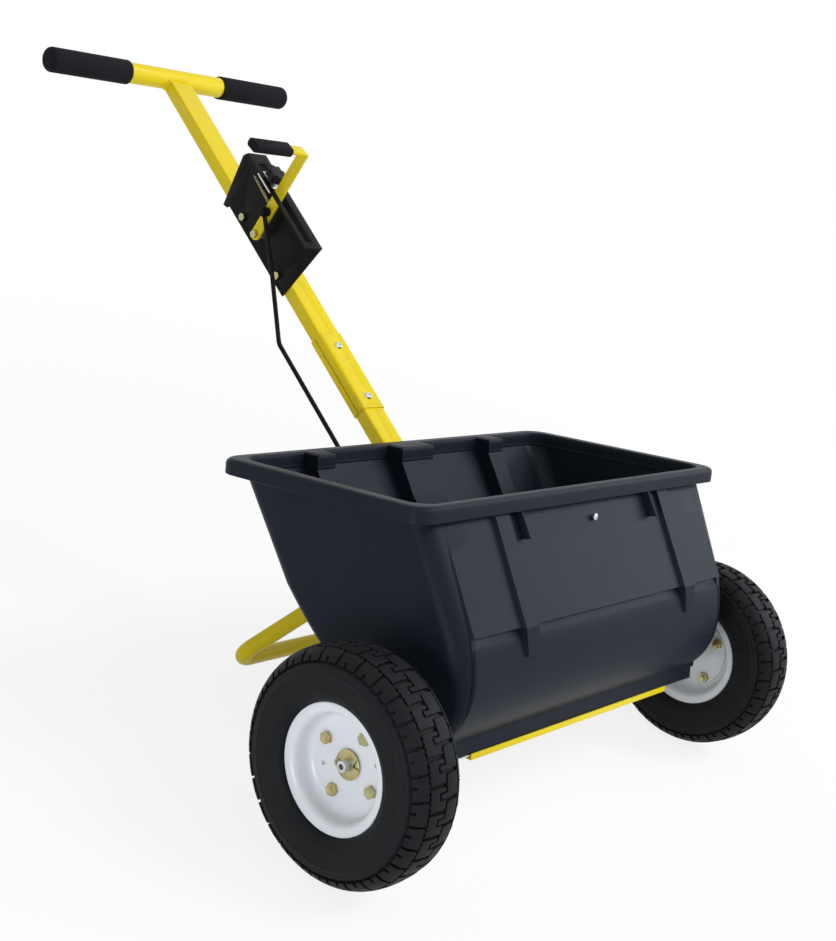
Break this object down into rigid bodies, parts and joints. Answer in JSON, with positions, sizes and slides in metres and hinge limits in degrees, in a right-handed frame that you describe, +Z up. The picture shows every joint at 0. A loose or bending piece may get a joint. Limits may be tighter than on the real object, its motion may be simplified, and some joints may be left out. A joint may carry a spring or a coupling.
{
  "type": "garden drop spreader",
  "caption": "Push drop spreader: open plastic tub on pneumatic wheels, T handle with flow lever and rod, sliding shutter and parking stand.",
  "frame": {"origin": "on the ground, in the middle of the bounding box, with the machine parked on its wheels and stand", "axes": "+X to the right as seen from the tub's front, +Y back towards the handle grips, +Z up"},
  "size_m": [1.012, 1.3614, 0.889],
  "materials": {
    "tub_plastic": "moulded, satin",
    "yellow_paint": "gloss powder coat",
    "black_paint": "satin powder coat",
    "bright_zinc": "zinc plated",
    "yellow_zinc": "yellow passivated zinc",
    "white_paint": "gloss powder coat",
    "tyre_rubber": "moulded rubber",
    "grip_foam": "matt foam rubber",
    "bush_nylon": "plain nylon",
    "knob_plastic": "moulded, satin"
  },
  "bodies": {
    "chassis": {"hopper": "tub_plastic", "hopper_screw": "bright_zinc", "floor_plate": "bright_zinc", "front_rail": "yellow_paint", "rear_rail": "yellow_paint", "left_end_bracket": "black_paint", "right_end_bracket": "black_paint", "left_axle_bush": "bush_nylon", "right_axle_bush": "bush_nylon", "upper_handle_tube": "yellow_paint", "lower_handle_tube": "yellow_paint", "splice_front_channel": "yellow_paint", "splice_rear_channel": "yellow_paint", "splice_bolts": "bright_zinc", "splice_nuts": "bright_zinc", "cross_bar": "yellow_paint", "left_grip": "grip_foam", "right_grip": "grip_foam", "handle_foot": "yellow_paint", "handle_foot_bolt": "bright_zinc", "stand_loop": "yellow_paint", "stand_bolt": "bright_zinc", "control_bracket": "black_paint", "bracket_bolts": "yellow_zinc", "bracket_nuts": "yellow_zinc", "lever_pivot_bolt": "yellow_zinc", "lever_spacer": "bright_zinc", "return_spring": "bright_zinc", "crank_bracket": "black_paint", "crank_pivot_bolt": "bright_zinc"},
    "left_wheel": {"left_tyre": "tyre_rubber", "left_outer_rim": "white_paint", "left_inner_rim": "white_paint", "left_hub": "white_paint", "left_rim_bolts": "yellow_zinc", "left_rim_nuts": "yellow_zinc", "left_hub_washer": "yellow_zinc", "left_split_pin": "yellow_zinc", "drive_pin": "bright_zinc", "axle": "bright_zinc", "agitator_fingers": "bright_zinc", "left_axle_spacer": "bright_zinc", "right_hub_washer": "yellow_zinc", "right_split_pin": "yellow_zinc"},
    "right_wheel": {"right_tyre": "tyre_rubber", "right_outer_rim": "white_paint", "right_inner_rim": "white_paint", "right_hub": "white_paint", "right_rim_bolts": "yellow_zinc", "right_rim_nuts": "yellow_zinc", "right_axle_spacer": "bright_zinc"},
    "lever": {"control_lever": "yellow_paint", "lever_grip": "grip_foam", "rod_pin": "black_paint"},
    "rod": {"control_rod": "black_paint"},
    "crank": {"shutter_crank": "black_paint"},
    "shutter": {"shutter_plate": "bright_zinc"},
    "stop": {"stop_block": "bright_zinc"},
    "knob": {"stop_knob": "knob_plastic"}
  },
  "joints": [
    {"name": "left_wheel_spin", "type": "hinge", "parent": "chassis", "child": "left_wheel", "pos_m": [0, -0.51568, 0.165], "axis": [1, 0, 0], "continuous": true},
    {"name": "right_wheel_spin", "type": "hinge", "parent": "chassis", "child": "right_wheel", "pos_m": [0, -0.51568, 0.165], "axis": [1, 0, 0], "continuous": true},
    {"name": "flow_lever", "type": "hinge", "parent": "chassis", "child": "lever", "pos_m": [-0.05, 0.29929, 0.6704], "axis": [1, 0, 0], "range_deg": [0, 40], "stiffness_Nm_per_rad": 1.2, "springref_deg": -28.65, "deforming": ["return_spring"]},
    {"name": "rod_hang", "type": "hinge", "parent": "lever", "child": "rod", "pos_m": [-0.062, 0.27944, 0.71575], "axis": [1, 0, 0], "range_deg": [-40, 0]},
    {"name": "crank_turn", "type": "hinge", "parent": "chassis", "child": "crank", "pos_m": [-0.056, -0.36822, 0.10339], "axis": [1, 0, 0], "range_deg": [0, 40]},
    {"name": "shutter_slide", "type": "slide", "parent": "chassis", "child": "shutter", "axis": [0, 0.9783, -0.2072], "range_m": [-0.0151, 0]},
    {"name": "stop_slide", "type": "slide", "parent": "chassis", "child": "stop", "axis": [0, 0.8504, 0.5261], "range_m": [0, 0.022]},
    {"name": "stop_knob_turn", "type": "hinge", "parent": "stop", "child": "knob", "pos_m": [-0.05, 0.29073, 0.76977], "axis": [0, -0.5261, 0.8504], "range_deg": [0, 360]}
  ],
  "couplings": [
    {"joint": "rod_hang", "follows": "flow_lever", "ratio": -1},
    {"joint": "crank_turn", "follows": "flow_lever", "ratio": 1},
    {"joint": "shutter_slide", "follows": "flow_lever", "m_per_rad": -0.021556}
  ]
}
